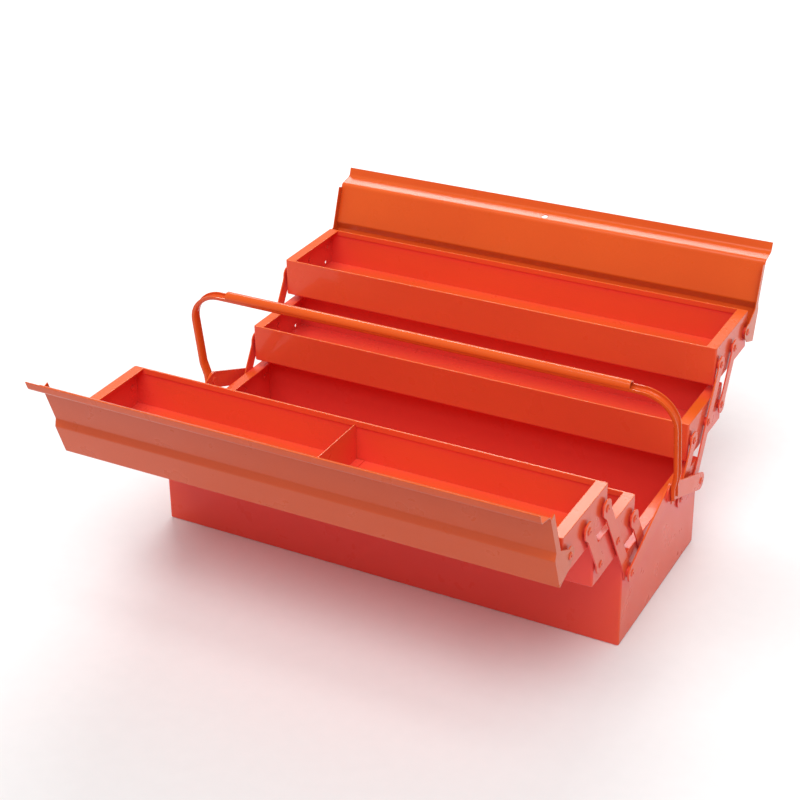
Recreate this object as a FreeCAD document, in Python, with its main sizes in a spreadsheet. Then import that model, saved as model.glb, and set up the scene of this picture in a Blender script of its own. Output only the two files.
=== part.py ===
import FreeCAD, Part
import os
import re

import Sketcher

# Cantilever tool box with two stepped trays on each side of a deep base.
# Millimetres, +Z up, X along the box, -Y is the front. The origin is the middle of the
# underside of the base. The box is modelled open, with its lids leaning outward.

SIZES = {
    # sheet metal boxes
    "base_length": 530.0,
    "base_depth": 216.0,
    "base_height": 104.0,
    "end_step": 2.0,
    "tray_side_gap": 2.0,
    "tray_height": 44.2,
    "sheet": 1.2,
    "flange_width": 12.0,
    "hem_height": 6.0,
    "hem_sheet": 2.2,
    "bend_radius": 2.0,
    "rim_round": 0.5,
    "divider_drop": 3.0,
    "divider_foot": 9.0,
    # parallel links; the angle is measured from upright
    "open_angle": 31.0,
    "link_width": 14.0,
    "link_end_radius": 9.5,
    "link_sheet": 1.5,
    "link_neck": 12.0,
    "link_gap": 0.4,
    # how the trays stack when shut
    "seat_gap": 0.4,
    "centre_gap": 1.43,
    "first_pivot": 9.0,
    "pivot_rise": 22.5,
    "pivot_inset": 10.5,
    # rivets
    "journal_radius": 2.95,
    "running_gap": 0.05,
    "shank_radius": 2.5,
    "shoulder_lip": 1.85,
    "head_lip": 1.05,
    "head_height": 1.1,
    "rivet_bore": 1.3,
    "rivet_bore_depth": 1.6,
    "play": 0.1,
    "weep_radius": 2.0,
    "weep_rise": 5.6,
    "weep_inset": 6.0,
    # stays that carry the handle
    "stay_width": 19.0,
    "stay_sheet": 1.6,
    "stay_standoff": 5.0,
    "apex_rise": 16.5,
    # handle, drawn from its pivots with "top" measured away from them
    "handle_lean": 9.0,
    "hand_room": 30.1,
    "strap_depth": 5.4,
    "strap_sheet": 1.3,
    "strap_round": 3.6,
    "trough_play": 0.55,
    "strap_corner": 39.0,
    "foot_clearance": 0.3,
    "foot_taper": 3.0,
    "foot_tail": 13.0,
    "foot_tip_width": 5.0,
    "jog_low": 8.0,
    "jog_high": 24.0,
    "jog_bend": 8.0,
    "leg_offset": 17.0,
    "pin_lip": 0.7,
    "grip_margin": 10.5,
    "grip_overlap": 0.3,
    # lids, drawn from the hinge: "rise" is away from the tray, "reach" is towards the lip
    "lid_sheet": 1.0,
    "lid_lean": 20.0,
    "lid_overhang": 1.9,
    "skirt_reach": 11.5,
    "joggle_drop": 4.7,
    "joggle_start": 24.5,
    "joggle_end": 31.5,
    "ramp_run": 9.8,
    "ramp_rise": 16.6,
    "lip_width": 10.7,
    "lip_gap": 0.46,
    "lid_bend": 2.5,
    "ramp_bend": 5.0,
    "cheek_radius": 9.0,
    "cheek_depth": 8.0,
    "cheek_inset": 4.0,
    "padlock_radius": 3.6,
    "padlock_rise": 6.0,
}

# Sizes that follow from the driving ones, as expressions in their names.
DERIVED = {
    # trays fill half the base each, and stack on its rim when shut
    "tray_length": "(base_length-2*end_step)",
    "tray_depth": "(base_depth/2-tray_side_gap)",
    "pivot_spacing": "((tray_depth-2*first_pivot)/2)",
    "second_pivot": "(first_pivot+pivot_spacing)",
    "third_pivot": "(first_pivot+2*pivot_spacing)",
    "base_pivot": "(base_depth/2-pivot_inset)",
    "short_base_pivot": "(base_pivot-pivot_spacing)",
    "closed_rise": "(tray_height+seat_gap)",
    "closed_run": "(base_pivot-second_pivot-centre_gap)",
    "link_pitch": "sqrt(closed_run^2+closed_rise^2)",
    "base_pivot_height": "(base_height+seat_gap+pivot_rise-closed_rise)",
    # open position
    "open_run": "(link_pitch*sin(open_angle*1deg))",
    "open_rise": "(link_pitch*cos(open_angle*1deg))",
    "lower_inner": "(base_pivot+open_run-second_pivot)",
    "lower_floor": "(base_pivot_height+open_rise-pivot_rise)",
    "upper_inner": "(base_pivot+2*open_run-first_pivot)",
    "upper_floor": "(base_pivot_height+2*open_rise-pivot_rise)",
    "hinge_side": "(upper_inner+third_pivot)",
    "hinge_height": "(upper_floor+pivot_rise)",
    "divider_height": "(tray_height-sheet-divider_drop)",
    # rivets and the layers outside the base's end walls
    "hole_radius": "(journal_radius+running_gap)",
    "head_radius": "(journal_radius+head_lip)",
    "shoulder_radius": "(journal_radius+shoulder_lip)",
    "pin_head_radius": "(journal_radius+pin_lip)",
    "link_outer": "(link_gap+link_sheet)",
    "front_stay_outer": "(stay_standoff+stay_sheet)",
    "rear_stay_outer": "(stay_standoff+2*stay_sheet)",
    # lids
    "lid_half": "(base_length/2+lid_overhang)",
    "panel_rise": "(tray_height-pivot_rise+seat_gap+lid_sheet)",
    "skirt_rise": "(panel_rise+joggle_drop)",
    "lip_rise": "(panel_rise+ramp_rise)",
    "upper_closed_inner": "(base_pivot-2*closed_run-first_pivot)",
    "lip_reach": "(third_pivot+upper_closed_inner-lip_gap)",
    "ramp_end": "(lip_reach-lip_width)",
    "ramp_start": "(ramp_end-ramp_run)",
    # handle
    "apex_height": "(base_height+apex_rise)",
    "shut_ridge": "(base_height+seat_gap+closed_rise+pivot_rise+lip_rise)",
    "strap_top": "(shut_ridge+hand_room-apex_height)",
    "strap_width": "(2*(pin_head_radius+trough_play+strap_sheet))",
    "trough_round": "(strap_round-strap_sheet)",
    "trough_flat": "(strap_width/2-strap_sheet-trough_round)",
    "web_inner": "(rear_stay_outer+foot_clearance)",
    "foot_outer": "(web_inner+strap_depth)",
    "handle_span": "(base_length+4*leg_offset)",
    "grip_length": "(2*(base_length/2+leg_offset-strap_corner-grip_margin))",
    "grip_outer": "(strap_width/2+grip_overlap)",
    "grip_inner": "(grip_outer-strap_sheet)",
    "grip_bottom": "(strap_top+play)",
}

WORD = re.compile(r"\b[a-z_]+[a-z]\b")
FRONT, REAR = "front", "rear"
LEFT, RIGHT = "left", "right"

doc = FreeCAD.newDocument("ToolBox")
sheet = doc.addObject("Spreadsheet::Sheet", "Sizes")
for row, (alias, value) in enumerate(SIZES.items(), start=1):
    sheet.set(f"A{row}", alias)
    sheet.set(f"B{row}", str(value))
    sheet.setAlias(f"B{row}", alias)
doc.recompute()
counter = doc.addObject("App::FeaturePython", "Evaluator")
counter.addProperty("App::PropertyFloat", "Result")
pieces = {}


def spell(text):
    """Writes an expression in plain size names as one that reads the sheet."""
    def swap(match):
        name = match.group(0)
        if name in DERIVED:
            return WORD.sub(swap, DERIVED[name])
        return f"Sizes.{name}" if name in SIZES else name
    return WORD.sub(swap, text)


def value(text):
    """The number that an expression gives now."""
    return float(counter.evalExpression(spell(text)))


def bind(thing, **expressions):
    for name, text in expressions.items():
        thing.setExpression(name.replace("__", "."), spell(text))


def place(thing, x="0", y="0", z="0", axis=None, angle="0"):
    """Binds a placement: a turn about one axis, then a move."""
    if axis is not None:
        thing.Placement = FreeCAD.Placement(FreeCAD.Vector(), FreeCAD.Rotation(axis, 1))
        bind(thing, Placement__Rotation__Angle=angle)
    bind(thing, Placement__Base__x=x, Placement__Base__y=y, Placement__Base__z=z)


def keep(thing, label):
    """Marks an object as a finished sub-part."""
    thing.Label = label
    pieces[label] = thing
    return thing


# ---------------------------------------------------------------- part design helpers

def new_body(label):
    body = doc.addObject("PartDesign::Body", "Body_" + label)
    return keep(body, label)


def new_sketch(body, role, offset="0"):
    """A sketch on one of the body's own origin planes, moved along the plane's normal."""
    sketch = body.newObject("Sketcher::SketchObject", "Sketch")
    planes = {item.Role: item for item in body.Origin.OriginFeatures}
    sketch.AttachmentSupport = (planes[role], [""])
    sketch.MapMode = "FlatFace"
    bind(sketch, AttachmentOffset__Base__z=offset)
    return sketch


def polygon(sketch, corners):
    """A closed outline whose corner coordinates are bound to expressions."""
    first = sketch.GeometryCount
    points = [FreeCAD.Vector(value(a), value(b), 0) for a, b in corners]
    count = len(points)
    for index in range(count):
        line = Part.LineSegment(points[index], points[(index + 1) % count])
        sketch.addGeometry(line, False)
    for index in range(count):
        nearby = first + (index + 1) % count
        sketch.addConstraint(Sketcher.Constraint("Coincident", first + index, 2, nearby, 1))
    for index, (a, b) in enumerate(corners):
        for kind, text, number in (("DistanceX", a, points[index].x), ("DistanceY", b, points[index].y)):
            name = sketch.addConstraint(Sketcher.Constraint(kind, first + index, 1, number))
            sketch.setExpression(f"Constraints[{name}]", spell(text))


def rectangle(sketch, left, right, bottom, top):
    polygon(sketch, [(left, bottom), (right, bottom), (right, top), (left, top)])


def circle(sketch, a, b, radius):
    centre = FreeCAD.Vector(value(a), value(b), 0)
    axis = FreeCAD.Vector(0, 0, 1)
    index = sketch.addGeometry(Part.Circle(centre, axis, value(radius)), False)
    for kind, text in (("DistanceX", a), ("DistanceY", b)):
        number = centre.x if kind == "DistanceX" else centre.y
        name = sketch.addConstraint(Sketcher.Constraint(kind, index, 3, number))
        sketch.setExpression(f"Constraints[{name}]", spell(text))
    name = sketch.addConstraint(Sketcher.Constraint("Radius", index, value(radius)))
    sketch.setExpression(f"Constraints[{name}]", spell(radius))


def pad(body, sketch, length, reverse=False, middle=False):
    feature = body.newObject("PartDesign::Pad", "Pad")
    feature.Profile = sketch
    feature.Reversed = reverse
    feature.Midplane = middle
    bind(feature, Length=length)
    doc.recompute()
    return feature


def pocket(body, sketch, depth=None, reverse=False):
    """Cuts to a depth, or right through both ways when no depth is given."""
    before = body.Shape.Volume
    feature = body.newObject("PartDesign::Pocket", "Pocket")
    feature.Profile = sketch
    if depth is None:
        feature.Type = "ThroughAll"
        feature.Midplane = True
    else:
        feature.Reversed = reverse
        bind(feature, Length=depth)
    doc.recompute()
    if body.Shape.Volume >= before:
        raise RuntimeError(f"{body.Label}: a pocket removed nothing")
    return feature


def fillet(body, radius, chosen):
    """Rounds the edges of the body's tip for which chosen(edge) is true."""
    base = body.Tip
    names = [f"Edge{i}" for i, edge in enumerate(base.Shape.Edges, start=1) if chosen(edge)]
    if not names:
        raise RuntimeError(f"{body.Label}: no edge to round")
    feature = body.newObject("PartDesign::Fillet", "Fillet")
    feature.Base = (base, names)
    bind(feature, Radius=radius)
    doc.recompute()
    return feature


def runs_along(edge, axis):
    start, end = edge.Vertexes[0].Point, edge.Vertexes[-1].Point
    step = end - start
    return step.Length > 0 and abs(abs(step.dot(axis)) / step.Length - 1) < 1e-6


def at_height(edge, height):
    return all(abs(vertex.Z - height) < 1e-4 for vertex in edge.Vertexes)


# ---------------------------------------------------------------- trays and base

def sheet_box(label, length, inner, outer, height, holes, weep=None):
    """An open sheet box with turned-in end flanges and folded hems on its long walls.

    holes are rivet holes through both ends; weep is (end sign, side, rise) of a small hole."""
    body = new_body(label)
    half = f"{length}/2"
    outline = new_sketch(body, "XY_Plane")
    rectangle(outline, f"-{half}", half, inner, outer)
    pad(body, outline, height)
    up = FreeCAD.Vector(0, 0, 1)
    fillet(body, "bend_radius", lambda e: runs_along(e, up) or at_height(e, 0))
    hollow = new_sketch(body, "XY_Plane", height)
    rectangle(hollow, f"-{half}+sheet", f"{half}-sheet", f"{inner}+sheet", f"{outer}-sheet")
    pocket(body, hollow, f"{height}-sheet")
    flanges = new_sketch(body, "XY_Plane", height)
    walls = (f"{inner}+sheet/2", f"{outer}-sheet/2")
    rectangle(flanges, f"{half}-flange_width", f"{half}-sheet/2", *walls)
    rectangle(flanges, f"-{half}+sheet/2", f"-{half}+flange_width", *walls)
    pad(body, flanges, "sheet", reverse=True)
    hems = new_sketch(body, "XY_Plane", height)
    ends = (f"-{half}+sheet/2", f"{half}-sheet/2")
    rectangle(hems, *ends, f"{inner}+sheet/2", f"{inner}+hem_sheet")
    rectangle(hems, *ends, f"{outer}-hem_sheet", f"{outer}-sheet/2")
    pad(body, hems, "hem_height", reverse=True)
    top = value(height)
    fillet(body, "rim_round", lambda e: at_height(e, top))
    bores = new_sketch(body, "YZ_Plane")
    for side, rise in holes:
        circle(bores, side, rise, "shank_radius")
    pocket(body, bores)
    if weep is not None:
        sign, across, rise = weep
        drain = new_sketch(body, "YZ_Plane", f"{sign}({half})")
        circle(drain, across, rise, "weep_radius")
        pocket(body, drain, "sheet*2", reverse=sign == "-")
    return body


def tray(side, level):
    """One of four equal trays: its inner wall is at local y 0, three rivet holes per end."""
    holes = [(name, "pivot_rise") for name in ("first_pivot", "second_pivot", "third_pivot")]
    label = f"{side}_{level}_tray"
    weep = ("-" if side == REAR else "", "third_pivot-weep_inset", "weep_rise")
    body = sheet_box(label, "tray_length", "0", "tray_depth", "tray_height", holes, weep)
    sign = "" if side == REAR else "-"
    turn = "0" if side == REAR else "180"
    place(body, y=f"{sign}{level}_inner", z=f"{level}_floor", axis=FreeCAD.Vector(0, 0, 1), angle=turn)


def base_tub():
    holes = [(sign + name, "base_pivot_height")
             for sign in ("", "-") for name in ("base_pivot", "short_base_pivot")]
    sheet_box("base_tub", "base_length", "-base_depth/2", "base_depth/2", "base_height", holes)


def divider():
    """The loose cross wall that splits the front upper tray, with a foot on the floor."""
    body = new_body("tray_divider")
    reach = ("hem_sheet+play", "tray_depth-hem_sheet-play")
    wall = new_sketch(body, "XY_Plane")
    rectangle(wall, "-lid_sheet/2", "lid_sheet/2", *reach)
    pad(body, wall, "divider_height")
    foot = new_sketch(body, "XY_Plane")
    rectangle(foot, "-divider_foot", "0", *reach)
    pad(body, foot, "lid_sheet")
    place(body, y="-upper_inner", z="upper_floor+sheet", axis=FreeCAD.Vector(0, 0, 1), angle="180")


# ---------------------------------------------------------------- links and stays

def bar(label, pitch, width, end_radius, thickness, hole_steps, neck=None):
    """A flat bar with round ends, standing up from its first hole, flat against x 0."""
    body = new_body(label)
    blank = new_sketch(body, "YZ_Plane")
    rectangle(blank, f"-{width}/2", f"{width}/2", "0", pitch)
    pad(body, blank, thickness)
    for rise in ("0", pitch):
        end = new_sketch(body, "YZ_Plane")
        circle(end, "0", rise, end_radius)
        pad(body, end, thickness)
    if neck is not None:
        along = FreeCAD.Vector(1, 0, 0)
        shoulder = value(f"{width}/2")
        fillet(body, neck, lambda e: runs_along(e, along) and
               abs(abs(e.Vertexes[0].Y) - shoulder) < 1e-4)
    bores = new_sketch(body, "YZ_Plane")
    for step in hole_steps:
        circle(bores, "0", step, "hole_radius")
    pocket(body, bores)
    return body


def lean(body, side, end, layer, pivot, height, angle):
    """Stands a bar on its pivot, leaning away from the middle, outside the given end.

    layer is the bar's (distance outside the base's end wall, thickness)."""
    outward = 1 if side == REAR else -1
    start, thickness = layer
    out = f"base_length/2+{start}"
    x = out if end == RIGHT else f"-({out})-{thickness}"
    turn = f"-({angle})" if outward > 0 else angle
    place(body, x=x, y=f"{outward}*{pivot}", z=height, axis=FreeCAD.Vector(1, 0, 0), angle=turn)


def links(side, end):
    """The long link and the two short ones that keep both trays level."""
    flat = ("link_width", "link_end_radius", "link_sheet")
    layer = ("link_gap", "link_sheet")
    steps = ["0", "link_pitch", "2*link_pitch"]
    long_link = bar(f"{side}_long_link_{end}", "2*link_pitch", *flat, steps, "link_neck")
    lean(long_link, side, end, layer, "base_pivot", "base_pivot_height", "open_angle")
    lower = bar(f"{side}_lower_link_{end}", "link_pitch", *flat, steps[:2], "link_neck")
    lean(lower, side, end, layer, "short_base_pivot", "base_pivot_height", "open_angle")
    upper = bar(f"{side}_upper_link_{end}", "link_pitch", *flat, steps[:2], "link_neck")
    upper_pivot = ("(lower_inner+third_pivot)", "lower_floor+pivot_rise")
    lean(upper, side, end, layer, *upper_pivot, "open_angle")


def stay(side, end):
    """A flat brace from the long link's base pivot up to the handle pivot."""
    rise = "(apex_height-base_pivot_height)"
    length = f"sqrt(base_pivot^2+{rise}^2)"
    angle = f"-atan(base_pivot/{rise})"
    body = bar(f"{side}_stay_{end}", length, "stay_width", "stay_width/2", "stay_sheet", ["0", length])
    start = "stay_standoff" if side == FRONT else "front_stay_outer"
    lean(body, side, end, (start, "stay_sheet"), "base_pivot", "base_pivot_height", angle)


# ---------------------------------------------------------------- rivets and spacers

def turned(label, outline):
    """A solid turned about the X axis from (distance outward, radius) corners."""
    body = doc.addObject("PartDesign::Body", "Turned_" + label)
    body.Label = label
    sketch = new_sketch(body, "XY_Plane")
    polygon(sketch, outline)
    feature = body.newObject("PartDesign::Revolution", "Revolution")
    feature.Profile = sketch
    axes = {item.Role: item for item in body.Origin.OriginFeatures}
    feature.ReferenceAxis = (axes["X_Axis"], [""])
    doc.recompute()
    return body


def rivet(label, shoulder_end, head_start):
    """A rivet through an end wall whose outer face is x 0, with a shoulder for the moving part."""
    journal_end = f"{head_start}+play"
    crown = f"{journal_end}+head_height"
    return turned(label, [
        ("-sheet-head_height", "0"), ("-sheet-head_height", "head_radius-1"),
        ("-sheet", "head_radius-0.6"), ("-sheet", "shank_radius"),
        ("0", "shank_radius"), ("0", "shoulder_radius"),
        (f"{shoulder_end}-play", "shoulder_radius"), (f"{shoulder_end}-play", "journal_radius"),
        (journal_end, "journal_radius"), (journal_end, "head_radius"),
        (f"{crown}-0.7", "head_radius"), (crown, "head_radius-1.3"),
        (crown, "rivet_bore"), (f"{crown}-rivet_bore_depth", "rivet_bore"),
        (f"{crown}-rivet_bore_depth", "0"),
    ])


def apex_pin(label):
    """The handle's pivot: headed behind the stays and again inside the strap's trough."""
    floor = "(web_inner+strap_sheet+play)"

    def clear_of_trough(radius):
        """How far outward a disc of this radius clears the trough's rounded corners."""
        across = f"({radius}-trough_flat)"
        return f"({floor}+trough_round-sqrt(trough_round^2-{across}^2))"
    seat = clear_of_trough("journal_radius")
    under = clear_of_trough("pin_head_radius")
    crown = f"({under}+head_height)"
    return turned(label, [
        ("stay_standoff-head_height", "0"), ("stay_standoff-head_height", "head_radius-1"),
        ("stay_standoff-0.5", "head_radius"), ("stay_standoff-play", "head_radius"),
        ("stay_standoff-play", "journal_radius"),
        (seat, "journal_radius"), (under, "pin_head_radius"),
        (f"{crown}-0.5", "pin_head_radius"), (crown, "pin_head_radius-1"), (crown, "0"),
    ])


def spacer(label, outer):
    """A ring on the long link's base rivet that holds a stay off the link."""
    start = "link_outer+play"
    return turned(label, [
        (start, "hole_radius"), (start, "shoulder_radius+1"),
        (outer, "shoulder_radius+1"), (outer, "hole_radius"),
    ])


def group(label, seats):
    """A group of equal separate solids: seats are (master, end face, y, z)."""
    copies = []
    for master, face, y, z in seats:
        for turn, sign in (("0", ""), ("180", "-")):
            copy = doc.addObject("App::Link", "Copy")
            copy.LinkedObject = master
            place(copy, x=f"{sign}({face})", y=y, z=z, axis=FreeCAD.Vector(0, 0, 1), angle=turn)
            copies.append(copy)
    cluster = doc.addObject("Part::Compound", "Group")
    cluster.Links = copies
    return keep(cluster, label)


def fasteners():
    tray_face, base_face = "tray_length/2", "base_length/2"
    tray_link = "(end_step+link_gap)"
    pivot_rivet = rivet("pivot_rivet", tray_link, "end_step+link_outer")
    hinge_rivet = rivet("hinge_rivet", "end_step+lid_overhang-lid_sheet", "end_step+lid_overhang")
    short_rivet = rivet("short_rivet", "link_gap", "link_outer")
    front_rivet = rivet("front_rivet", "link_gap", "front_stay_outer-play")
    rear_rivet = rivet("rear_rivet", "link_gap", "rear_stay_outer-play")
    front_ring = spacer("front_ring", "stay_standoff")
    rear_ring = spacer("rear_ring", "front_stay_outer")
    pin = apex_pin("apex_master")
    for side, sign in ((FRONT, "-"), (REAR, "")):
        for level in ("lower", "upper"):
            seats = []
            for hole in ("first_pivot", "second_pivot", "third_pivot"):
                hinge = level == "upper" and hole == "third_pivot"
                master = hinge_rivet if hinge else pivot_rivet
                y = f"{sign}({level}_inner+{hole})"
                seats.append((master, tray_face, y, f"{level}_floor+pivot_rise"))
            group(f"{side}_{level}_tray_rivets", seats)
        long_master = front_rivet if side == FRONT else rear_rivet
        ring = front_ring if side == FRONT else rear_ring
        group(f"{side}_base_rivets", [
            (long_master, base_face, f"{sign}base_pivot", "base_pivot_height"),
            (short_rivet, base_face, f"{sign}short_base_pivot", "base_pivot_height"),
        ])
        group(f"{side}_stay_spacers", [(ring, base_face, f"{sign}base_pivot", "base_pivot_height")])
    group("handle_pivots", [(pin, base_face, "0", "apex_height")])


# ---------------------------------------------------------------- lids

def lid_edges(corners):
    """Picks the lengthwise edges that pass through the given (rise, reach) corners."""
    along = FreeCAD.Vector(1, 0, 0)
    targets = [(value(a), value(b)) for a, b in corners]

    def chosen(edge):
        point = edge.Vertexes[0].Point
        near = any(abs(point.y - a) < 0.01 and abs(point.z - b) < 0.01 for a, b in targets)
        return near and runs_along(edge, along)
    return chosen


def lid(side):
    """A folded lid panel with a raised lip, and a cheek at each end that swings on a rivet."""
    body = new_body(f"{side}_lid")
    outer = [
        ("skirt_rise", "-skirt_reach"), ("skirt_rise", "joggle_start"),
        ("panel_rise", "joggle_end"), ("panel_rise", "ramp_start"),
        ("lip_rise", "ramp_end"), ("lip_rise", "lip_reach"),
    ]
    under = [(f"{rise}-lid_sheet", reach) for rise, reach in outer]
    under[3] = ("panel_rise-lid_sheet", "ramp_start+lid_sheet/2")
    under[4] = ("lip_rise-lid_sheet", "ramp_end+lid_sheet/2")
    profile = new_sketch(body, "YZ_Plane")
    polygon(profile, outer + under[::-1])
    pad(body, profile, "2*lid_half", middle=True)
    fillet(body, "lid_bend", lid_edges([outer[2], under[1]]))
    fillet(body, "lid_bend+lid_sheet", lid_edges([outer[1], under[2]]))
    fillet(body, "ramp_bend", lid_edges([outer[3], under[4]]))
    fillet(body, "ramp_bend+lid_sheet", lid_edges([outer[4], under[3]]))
    cheek = [
        ("0", "cheek_radius"), ("panel_rise-cheek_depth", "joggle_start"),
        ("panel_rise-cheek_depth", "ramp_start-cheek_inset"),
        ("panel_rise-lid_sheet/2", "ramp_start-cheek_inset"),
        ("panel_rise-lid_sheet/2", "joggle_end"), ("skirt_rise-lid_sheet/2", "joggle_start"),
        ("skirt_rise-lid_sheet/2", "-skirt_reach"), ("cheek_radius/2", "-skirt_reach"),
        ("0", "-cheek_radius"),
    ]
    for sign, reverse in (("", True), ("-", False)):
        plate = new_sketch(body, "YZ_Plane", f"{sign}lid_half")
        polygon(plate, cheek)
        pad(body, plate, "lid_sheet", reverse=reverse)
        boss = new_sketch(body, "YZ_Plane", f"{sign}lid_half")
        circle(boss, "0", "0", "cheek_radius")
        pad(body, boss, "lid_sheet", reverse=reverse)
    bores = new_sketch(body, "YZ_Plane")
    circle(bores, "0", "0", "hole_radius")
    pocket(body, bores)
    padlock = new_sketch(body, "XY_Plane", "lip_reach")
    circle(padlock, "0", "panel_rise+padlock_rise", "padlock_radius")
    pocket(body, padlock, "lip_width+ramp_run")
    outward = 1 if side == REAR else -1
    turn = FreeCAD.Rotation(FreeCAD.Vector(1, 0, 0), -value("lid_lean"))
    if side == FRONT:
        turn = FreeCAD.Rotation(FreeCAD.Vector(0, 0, 1), 180).multiply(turn)
    body.Placement = FreeCAD.Placement(FreeCAD.Vector(), turn)
    bind(body, Placement__Base__y=f"{outward}*hinge_side", Placement__Base__z="hinge_height")


# ---------------------------------------------------------------- handle

def bail(name, inset, thickness, width, rounding):
    """A bent strap whose outer face is inset from the handle's outer face.

    rounding is the radius of the two long edges on its inner side."""
    body = doc.addObject("PartDesign::Body", name)
    foot = "(base_length/2+foot_outer)"
    leg = "(base_length/2+leg_offset)"

    def line(step):
        return [
            (f"{foot}-({step})", "-foot_tail"), (f"{foot}-({step})", "jog_low"),
            (f"{leg}-({step})", "jog_high"), (f"{leg}-({step})", f"strap_top-({step})"),
        ]
    outer = line(inset)
    under = line(f"{inset}+{thickness}")
    mirror = [(f"-({x})", z) for x, z in outer[::-1]]
    mirror_under = [(f"-({x})", z) for x, z in under]
    sketch = new_sketch(body, "XZ_Plane")
    polygon(sketch, outer + mirror + mirror_under + under[::-1])
    pad(body, sketch, width, middle=True)
    across = FreeCAD.Vector(0, 1, 0)
    for step in (inset, f"{inset}+{thickness}"):
        top = value(f"strap_top-({step})")
        fillet(body, f"strap_corner-({step})",
               lambda e, top=top: runs_along(e, across) and at_height(e, top))
    kinks = (value("jog_low"), value("jog_high"))
    fillet(body, "jog_bend", lambda e: runs_along(e, across) and
           any(at_height(e, height) for height in kinks))
    shape = body.Tip.Shape
    fillet(body, rounding, lambda e: on_inner_side(shape, e))
    return body


def on_inner_side(shape, edge):
    """True for a long edge between a bent strap's side and the face towards the hand."""
    middle = edge.valueAt((edge.FirstParameter + edge.LastParameter) / 2)
    inward = FreeCAD.Vector(0, middle.y, value("strap_top/2")) - middle
    normals = [face.normalAt(*face.Surface.parameter(middle))
               for face in shape.ancestorsOfType(edge, Part.Face)]
    beside = any(abs(normal.y) > 0.9 for normal in normals)
    return beside and any(abs(normal.y) < 0.1 and normal.dot(inward) > 0 for normal in normals)


def foot_trim():
    """Cutters for the handle's pivot holes and for the taper of its feet."""
    pivot_hole = doc.addObject("Part::Cylinder", "PivotHole")
    bind(pivot_hole, Radius="hole_radius", Height="handle_span")
    place(pivot_hole, x="-handle_span/2", axis=FreeCAD.Vector(0, 1, 0), angle="90")
    taper = doc.addObject("PartDesign::Body", "FootTaper")
    sketch = new_sketch(taper, "YZ_Plane")
    for sign in ("", "-"):
        polygon(sketch, [
            (f"{sign}(strap_width/2)", "-foot_taper"), (f"{sign}strap_width", "-foot_taper"),
            (f"{sign}strap_width", "-2*foot_tail"), (f"{sign}foot_tip_width/2", "-2*foot_tail"),
            (f"{sign}foot_tip_width/2", "-foot_tail+sheet"),
        ])
    pad(taper, sketch, "handle_span", middle=True)
    tool = doc.addObject("Part::MultiFuse", "HandleTrims")
    tool.Shapes = [pivot_hole, taper]
    return tool


def grip():
    """A half-round handgrip that closes the top of the strap's channel into a tube."""
    body = new_body("handle_grip")
    crown = new_sketch(body, "YZ_Plane")
    circle(crown, "0", "grip_bottom", "grip_outer")
    pad(body, crown, "grip_length", middle=True)
    hollow = new_sketch(body, "YZ_Plane")
    circle(hollow, "0", "grip_bottom", "grip_inner")
    pocket(body, hollow)
    below = new_sketch(body, "YZ_Plane")
    rectangle(below, "-2*grip_outer", "2*grip_outer", "grip_bottom-2*grip_outer", "grip_bottom")
    pocket(body, below)
    return body


def handle():
    """The carrying bail: a channel open outward, its grip, and holes for the two pivots."""
    channel = doc.addObject("Part::Cut", "Channel")
    channel.Base = bail("Strap", "0", "strap_depth", "strap_width", "strap_round")
    inside = "strap_width-2*strap_sheet"
    channel.Tool = bail("Trough", "-strap_sheet", "strap_depth", inside, "trough_round")
    strap = doc.addObject("Part::Cut", "HandleStrap")
    strap.Base = channel
    strap.Tool = foot_trim()
    keep(strap, "handle_strap")
    for thing in (strap, grip()):
        place(thing, z="apex_height", axis=FreeCAD.Vector(1, 0, 0), angle="handle_lean")


# ---------------------------------------------------------------- the whole box

base_tub()
for side in (FRONT, REAR):
    for level in ("lower", "upper"):
        tray(side, level)
    for end in (LEFT, RIGHT):
        links(side, end)
        stay(side, end)
    lid(side)
divider()
fasteners()
handle()
doc.recompute()

for item in doc.Objects:
    if {"Invalid", "Error"} & set(item.State):
        raise RuntimeError(f"{item.Name} ({item.Label}) failed: {item.State}")
for label, thing in pieces.items():
    if thing.Shape.isNull() or not thing.Shape.isValid():
        raise RuntimeError(f"{label}: the shape is missing or not valid")

os.makedirs("parts", exist_ok=True)
for label, thing in pieces.items():
    thing.Shape.exportStep(f"parts/{label}.step")
    box = thing.Shape.BoundBox
    print(f"{label:28s} {len(thing.Shape.Solids)} solids  "
          f"x {box.XMin:7.1f} {box.XMax:7.1f}  y {box.YMin:7.1f} {box.YMax:7.1f}  "
          f"z {box.ZMin:6.1f} {box.ZMax:6.1f}")
print(f"pivots: base y {value('base_pivot'):.3f} z {value('base_pivot_height'):.3f}, "
      f"short {value('short_base_pivot'):.3f}, run {value('open_run'):.3f}, "
      f"rise {value('open_rise'):.3f}, hinge y {value('hinge_side'):.3f} z {value('hinge_height'):.3f}")
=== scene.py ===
import math

import bpy
from mathutils import Matrix, Vector


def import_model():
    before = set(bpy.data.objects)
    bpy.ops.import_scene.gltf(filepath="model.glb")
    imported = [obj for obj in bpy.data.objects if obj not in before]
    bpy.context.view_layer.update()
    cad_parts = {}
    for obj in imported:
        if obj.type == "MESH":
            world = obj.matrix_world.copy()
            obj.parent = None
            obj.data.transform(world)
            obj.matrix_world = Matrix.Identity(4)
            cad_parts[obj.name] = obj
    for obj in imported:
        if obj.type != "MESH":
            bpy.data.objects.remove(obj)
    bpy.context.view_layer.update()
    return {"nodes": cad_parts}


# A glossy orange-red steel tool box, opened out, on a pale floor in soft studio light.
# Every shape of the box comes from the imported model. This script adds its paint, and the
# floor, lights and camera. Metres, +Z up, X along the box, -Y is the front.

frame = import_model()
nodes = frame["nodes"]
scene = bpy.context.scene

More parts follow.
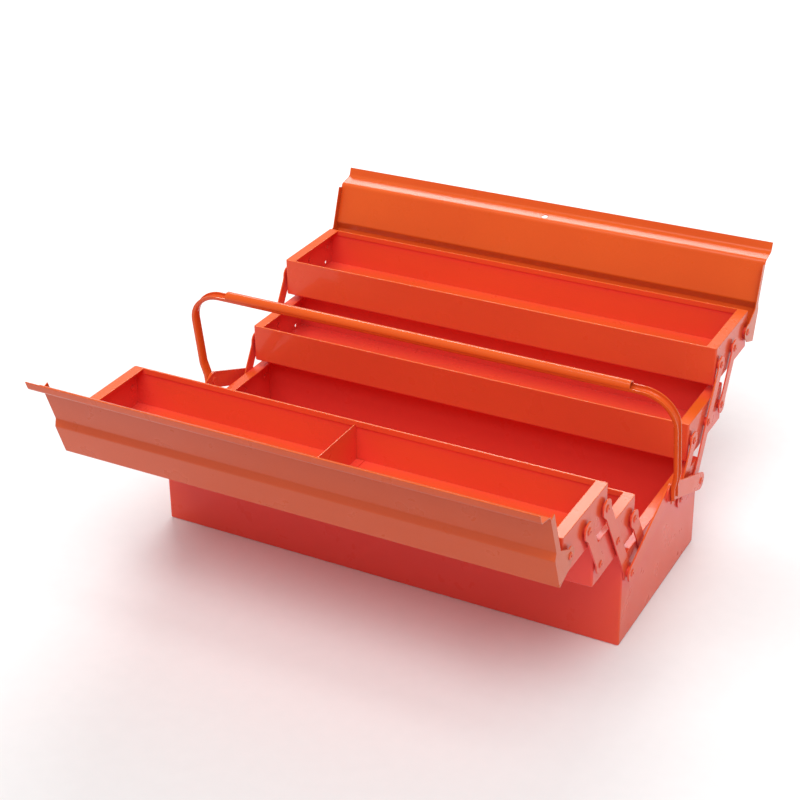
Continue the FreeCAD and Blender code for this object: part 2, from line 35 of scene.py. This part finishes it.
# Paint colours are linear. The colour is painted to follow the light: orange where a point
# sees open sky above it, and a painted shade tone, crimson, or a deeper orange on the lids and
# handle, where little sky is seen.
OPEN_COLOUR = (0.80, 0.118, 0.014, 1.0)
OPEN_DEEP = (0.76, 0.104, 0.013, 1.0)
PAINTED_SHADE_COLOUR = (0.84, 0.066, 0.056, 1.0)
HANDLE_PAINTED_SHADE = (0.78, 0.105, 0.020, 1.0)
LID_PAINTED_SHADE = (0.58, 0.070, 0.013, 1.0)
WORN_COLOUR = (0.62, 0.20, 0.11, 1.0)
FLOOR_COLOUR = (0.86, 0.86, 0.86, 1.0)

# Noise scales of the paint, from its slowest change to its finest.
DRIFT_SCALE = 7.0
WAVE_SCALE = 8.0
GLOSS_SCALE = 35.0
SCUFF_SCALE = 260.0
PEEL_SCALE = 520.0

# How far the paint looks around for open sky, how wide scuffs run along an edge, and how
# softly the spray rounds an edge.
SKY_REACH = 0.25
SCUFF_REACH = 0.0012
EDGE_RADIUS = 0.0005

GLOSS_SPREAD = 0.04
PAINT_SPECULAR = 0.14

FLOOR_REACH = 8.0
FLOOR_GRAIN_SCALE = 60.0
FLOOR_GRAIN = 0.985

SKY_STRENGTH = 0.37
OVERHEAD_BACK = (0.15, -0.48, 1.0)
OVERHEAD_WIDTH = 54
OVERHEAD_STRENGTH = 2.35

# A panel behind the box, placed so that the rear lid's sloping ramp mirrors it.
RAMP_PLACE = (0, 0.29, 0.26)
GLOW_BACK = (-0.355, 0.655, 0.657)
GLOW_DISTANCE = 3.0
GLOW_SIZE = (2.2, 0.9)
GLOW_POWER = 50

CAMERA_PLACE = (0.7536, -1.4832, 1.0504)
CAMERA_AZIMUTH = 29.0
CAMERA_ELEVATION = 26.3
CAMERA_ROLL = -1.1
CAMERA_LENS = 80.3
CAMERA_SENSOR = 36.0
CAMERA_SHIFT = (0.0386, -0.0718)
CAMERA_REACH = 50.0


# ---------------------------------------------------------------- material helpers

class Nodes:
    """Small wrapper that adds and links shader nodes in one material."""

    def __init__(self, name):
        self.material = bpy.data.materials.new(name)
        self.material.use_nodes = True
        self.tree = self.material.node_tree
        self.shader = self.tree.nodes["Principled BSDF"]

    def add(self, kind, **inputs):
        node = self.tree.nodes.new(kind)
        for name, value in inputs.items():
            node.inputs[name].default_value = value
        return node

    def link(self, out, into):
        self.tree.links.new(out, into)

    def noise(self, scale, detail=3.0, roughness=0.5):
        coords = self.add("ShaderNodeTexCoord")
        node = self.add("ShaderNodeTexNoise", Scale=scale, Detail=detail, Roughness=roughness)
        self.link(coords.outputs["Object"], node.inputs["Vector"])
        return node.outputs["Fac"]

    def ramp(self, source, low, high, start=0.0, end=1.0):
        """Maps low..high of a value to start..end, with clamped ends."""
        node = self.add("ShaderNodeMapRange")
        self.link(source, node.inputs["Value"])
        values = {"From Min": low, "From Max": high, "To Min": start, "To Max": end}
        for name, value in values.items():
            node.inputs[name].default_value = value
        return node.outputs["Result"]

    def mix(self, factor, first, second):
        """The first colour where the factor is 0, the second where it is 1."""
        node = self.tree.nodes.new("ShaderNodeMix")
        node.data_type = "RGBA"
        self.link(factor, node.inputs["Factor"])
        for source, name in ((first, "A"), (second, "B")):
            socket = [s for s in node.inputs if s.name == name and s.type == "RGBA"][0]
            if isinstance(source, tuple):
                socket.default_value = source
            else:
                self.link(source, socket)
        return [s for s in node.outputs if s.type == "RGBA"][0]

    def multiply(self, first, second):
        node = self.tree.nodes.new("ShaderNodeMath")
        node.operation = "MULTIPLY"
        self.link(first, node.inputs[0])
        self.link(second, node.inputs[1])
        return node.outputs[0]

    def bevel(self, radius):
        """The surface normal with every edge rounded by the radius."""
        node = self.add("ShaderNodeBevel", Radius=radius)
        node.samples = 4
        return node.outputs["Normal"]

    def edge_sharpness(self, radius):
        """0 on flat sheet, rising near an edge as the rounded normal leaves the true one."""
        true_normal = self.add("ShaderNodeNewGeometry").outputs["Normal"]
        node = self.tree.nodes.new("ShaderNodeVectorMath")
        node.operation = "DISTANCE"
        self.link(self.bevel(radius), node.inputs[0])
        self.link(true_normal, node.inputs[1])
        return node.outputs["Value"]

    def sky_seen(self, distance):
        """How much of the upper half space is open above a point, from 0 to 1."""
        node = self.add("ShaderNodeAmbientOcclusion", Distance=distance)
        node.samples = 4
        up = self.add("ShaderNodeCombineXYZ", Z=1.0)
        self.link(up.outputs["Vector"], node.inputs["Normal"])
        return node.outputs["AO"]

    def bump(self, height, strength, distance, under):
        """The normal under it, tilted by the slopes of a height."""
        node = self.add("ShaderNodeBump", Strength=strength, Distance=distance)
        self.link(height, node.inputs["Height"])
        self.link(under, node.inputs["Normal"])
        return node.outputs["Normal"]


def paint(name, rough=0.30, coat=0.28, coat_rough=0.06, wear=0.25, painted_shade_tone=PAINTED_SHADE_COLOUR):
    """Glossy sprayed paint under a clear coat.

    Slow colour drift, painted shade (the colour turns to a painted shade tone where little
    open sky is seen above), orange peel, sheet that is not quite flat, softly rounded edges,
    and thin scuffs along the edges, where rounding the normal shows how sharp the form is."""
    mat = Nodes(name)
    drift = mat.ramp(mat.noise(DRIFT_SCALE, detail=4.0), low=0.35, high=0.65)
    tone = mat.mix(drift, OPEN_DEEP, OPEN_COLOUR)
    # Painted shade: the tone turns to the painted shade colour where little open sky is seen
    # above the point.
    sky = mat.ramp(mat.sky_seen(SKY_REACH), low=0.22, high=0.62)
    tone = mat.mix(sky, painted_shade_tone, tone)
    scuffs = mat.ramp(mat.noise(SCUFF_SCALE, detail=4.0, roughness=0.7), low=0.52, high=0.66)
    edges = mat.ramp(mat.edge_sharpness(SCUFF_REACH), low=0.05, high=0.30)
    worn = mat.ramp(mat.multiply(scuffs, edges), low=0.0, high=1.0, end=wear)
    tone = mat.mix(worn, tone, WORN_COLOUR)
    mat.link(tone, mat.shader.inputs["Base Color"])
    gloss = mat.ramp(mat.noise(GLOSS_SCALE, detail=5.0), low=0.3, high=0.7,
                     start=rough - GLOSS_SPREAD, end=rough + GLOSS_SPREAD)
    mat.link(gloss, mat.shader.inputs["Roughness"])
    mat.shader.inputs["Coat Roughness"].default_value = coat_rough
    mat.shader.inputs["Coat Weight"].default_value = coat
    mat.shader.inputs["Specular IOR Level"].default_value = PAINT_SPECULAR
    rounded = mat.bevel(EDGE_RADIUS)
    waves = mat.bump(mat.noise(WAVE_SCALE, detail=1.0), 0.10, 0.003, under=rounded)
    peel = mat.bump(mat.noise(PEEL_SCALE, detail=2.0), 0.06, 0.0003, under=waves)
    mat.link(peel, mat.shader.inputs["Normal"])
    mat.link(peel, mat.shader.inputs["Coat Normal"])
    return mat.material


def dress(material, name):
    """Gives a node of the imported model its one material."""
    target = nodes[name]
    target.data.materials.clear()
    target.data.materials.append(material)


# ---------------------------------------------------------------- the painted steel

body_paint = paint("body_paint")
link_paint = paint("link_paint", wear=0.35)
# The handle and lids take their own painted shade tone, a deeper orange, where little sky is
# seen above.
handle_paint = paint("handle_paint", rough=0.26, painted_shade_tone=HANDLE_PAINTED_SHADE)
rivet_paint = paint("rivet_paint", rough=0.34, wear=0.7)
lid_paint = paint("lid_paint", coat=0.40, coat_rough=0.20, painted_shade_tone=LID_PAINTED_SHADE)
for name in nodes:
    if "rivets" in name or "spacers" in name or "pivots" in name:
        dress(rivet_paint, name)
    elif "link" in name or "stay" in name:
        dress(link_paint, name)
    elif name.startswith("handle"):
        dress(handle_paint, name)
    elif name.endswith("_lid"):
        dress(lid_paint, name)
    else:
        dress(body_paint, name)


# ---------------------------------------------------------------- studio

def place_lamp(name, data, target, back, distance):
    """Stands a lamp off from the target, in the direction back, and turns it to the target."""
    lamp = bpy.data.objects.new(name, data)
    scene.collection.objects.link(lamp)
    direction = Vector(back).normalized()
    spin = (-direction).to_track_quat("-Z", "Y").to_matrix().to_4x4()
    lamp.matrix_world = Matrix.Translation(Vector(target) + direction * distance) @ spin


def overhead():
    """A very broad far light, like a large soft box, OVERHEAD_WIDTH degrees across."""
    data = bpy.data.lights.new("overhead", "SUN")
    data.angle = math.radians(OVERHEAD_WIDTH)
    data.energy = OVERHEAD_STRENGTH
    place_lamp("overhead", data, (0, 0, 0), OVERHEAD_BACK, 3.0)


def ledge_glow():
    """The panel that the rear lid's ramp mirrors."""
    data = bpy.data.lights.new("ledge_glow", "AREA")
    data.shape = "RECTANGLE"
    data.size, data.size_y = GLOW_SIZE
    data.energy = GLOW_POWER
    place_lamp("ledge_glow", data, RAMP_PLACE, GLOW_BACK, GLOW_DISTANCE)


def floor():
    """One flat square of pale paper with a faint grain."""
    mesh = bpy.data.meshes.new("floor")
    signs = ((-1, -1), (1, -1), (1, 1), (-1, 1))
    corners = [(FLOOR_REACH * x, FLOOR_REACH * y, 0) for x, y in signs]
    mesh.from_pydata(corners, [], [(0, 1, 2, 3)])
    item = bpy.data.objects.new("floor", mesh)
    scene.collection.objects.link(item)
    mat = Nodes("floor_paper")
    grain = mat.ramp(mat.noise(FLOOR_GRAIN_SCALE), low=0.3, high=0.7)
    shade = tuple(FLOOR_GRAIN * part for part in FLOOR_COLOUR[:3]) + (1.0,)
    mat.link(mat.mix(grain, shade, FLOOR_COLOUR), mat.shader.inputs["Base Color"])
    mat.shader.inputs["Roughness"].default_value = 0.9
    mat.shader.inputs["Specular IOR Level"].default_value = 0.1
    mesh.materials.append(mat.material)


def world():
    """A plain white sky that fills the shadows."""
    backdrop = bpy.data.worlds.new("studio")
    scene.world = backdrop
    backdrop.use_nodes = True
    sky = backdrop.node_tree.nodes["Background"]
    sky.inputs["Color"].default_value = (1.0, 1.0, 1.0, 1.0)
    sky.inputs["Strength"].default_value = SKY_STRENGTH


def camera():
    """The viewpoint of the picture of the box."""
    azimuth = math.radians(CAMERA_AZIMUTH)
    elevation = math.radians(CAMERA_ELEVATION)
    roll = math.radians(CAMERA_ROLL)
    forward = Vector((-math.sin(azimuth) * math.cos(elevation),
                      math.cos(azimuth) * math.cos(elevation),
                      -math.sin(elevation)))
    level = Vector((math.cos(azimuth), math.sin(azimuth), 0))
    upward = level.cross(forward)
    right = level * math.cos(roll) + upward * math.sin(roll)
    above = upward * math.cos(roll) - level * math.sin(roll)
    data = bpy.data.cameras.new("camera")
    data.sensor_width = CAMERA_SENSOR
    data.lens = CAMERA_LENS
    data.shift_x, data.shift_y = CAMERA_SHIFT
    data.clip_end = CAMERA_REACH
    eye = bpy.data.objects.new("camera", data)
    scene.collection.objects.link(eye)
    turn = Matrix((right, above, -forward)).transposed().to_4x4()
    eye.matrix_world = Matrix.Translation(CAMERA_PLACE) @ turn
    scene.camera = eye


floor()
world()
camera()
overhead()
ledge_glow()
scene.view_settings.view_transform = "Standard"
